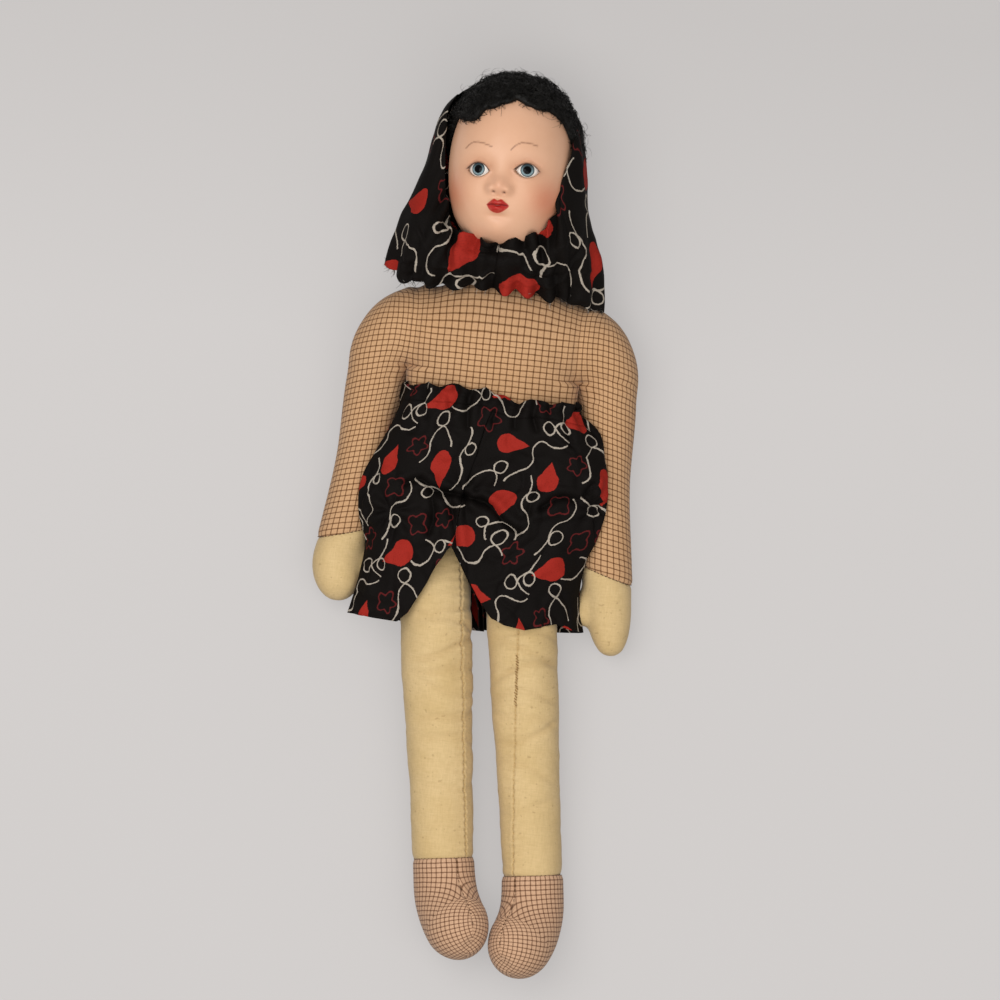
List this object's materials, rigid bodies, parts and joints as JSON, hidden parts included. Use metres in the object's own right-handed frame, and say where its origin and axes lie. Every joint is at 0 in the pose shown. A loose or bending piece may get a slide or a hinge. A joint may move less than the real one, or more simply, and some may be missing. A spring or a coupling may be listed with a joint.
{
  "type": "cloth doll",
  "caption": "Stuffed cloth doll with a hard painted head, plush wig, printed kerchief and gathered shorts, lying on its back with soft neck, shoulders and hips.",
  "frame": {"origin": "middle of the flat on the back of the chest, where the doll rests", "axes": "+X to the doll's own left, +Y from the feet to the head, +Z out of the front of the doll; the doll lies on its back"},
  "size_m": [0.175, 0.4778, 0.09],
  "materials": {
    "check_cloth": "tan plain-weave cotton with a fine brown check",
    "pink_check_cloth": "pinkish beige plain-weave cotton with a fine brown check",
    "yellow_cotton": "pale yellow plain-weave cotton",
    "print_cloth": "black cotton printed in off-white and red",
    "stuffing": "packed cotton wadding",
    "painted_head": "satin flesh paint on a moulded shell",
    "plush": "black plush pile",
    "eye": "glazed white with a blue iris",
    "elastic": "woven flat elastic",
    "thread": "cotton sewing thread"
  },
  "bodies": {
    "torso": {"torso_front_panel": "check_cloth", "torso_back_panel": "check_cloth", "torso_stuffing": "stuffing", "waist_elastic": "elastic", "shorts_seat": "print_cloth", "hip_left_stitches": "thread", "hip_right_stitches": "thread"},
    "neck": {"neck_plug": "yellow_cotton"},
    "head": {"head_shell": "painted_head", "wig_cap": "plush", "eye_left": "eye", "eye_right": "eye", "kerchief_hood": "print_cloth", "kerchief_drape": "print_cloth", "kerchief_tie": "print_cloth"},
    "arm_left": {"arm_left_sleeve": "check_cloth", "hand_left_mitten": "yellow_cotton", "arm_left_stuffing": "stuffing"},
    "arm_right": {"arm_right_sleeve": "check_cloth", "hand_right_mitten": "yellow_cotton", "arm_right_stuffing": "stuffing"},
    "leg_left": {"leg_left_tube": "yellow_cotton", "foot_left_sock": "pink_check_cloth", "leg_left_stuffing": "stuffing", "shorts_left_leg": "print_cloth"},
    "leg_right": {"leg_right_tube": "yellow_cotton", "foot_right_sock": "pink_check_cloth", "leg_right_stuffing": "stuffing", "shorts_right_leg": "print_cloth"}
  },
  "joints": [
    {"name": "neck_nod", "type": "hinge", "parent": "torso", "child": "neck", "pos_m": [0, 0.046, 0.034], "axis": [1, 0, 0], "range_deg": [-20, 35], "deforming": ["kerchief_drape", "kerchief_tie"]},
    {"name": "head_turn", "type": "hinge", "parent": "neck", "child": "head", "pos_m": [0, 0.07, 0.034], "axis": [0, 1, 0], "range_deg": [-38, 52], "deforming": ["kerchief_drape", "kerchief_tie"]},
    {"name": "arm_left_raise", "type": "hinge", "parent": "torso", "child": "arm_left", "pos_m": [0.046, 0.008, 0.026], "axis": [-1, 0, 0], "range_deg": [-20, 130], "deforming": ["shorts_seat"]},
    {"name": "arm_right_raise", "type": "hinge", "parent": "torso", "child": "arm_right", "pos_m": [-0.046, 0.008, 0.026], "axis": [-1, 0, 0], "range_deg": [-20, 130], "deforming": ["shorts_seat"]},
    {"name": "leg_left_sit", "type": "hinge", "parent": "torso", "child": "leg_left", "pos_m": [0.0225, -0.0908, 0.0208], "axis": [-1, 0, 0], "range_deg": [-15, 90], "deforming": ["shorts_left_leg", "shorts_seat"]},
    {"name": "leg_right_sit", "type": "hinge", "parent": "torso", "child": "leg_right", "pos_m": [-0.0225, -0.0908, 0.0208], "axis": [-1, 0, 0], "range_deg": [-15, 90], "deforming": ["shorts_right_leg", "shorts_seat"]}
  ]
}
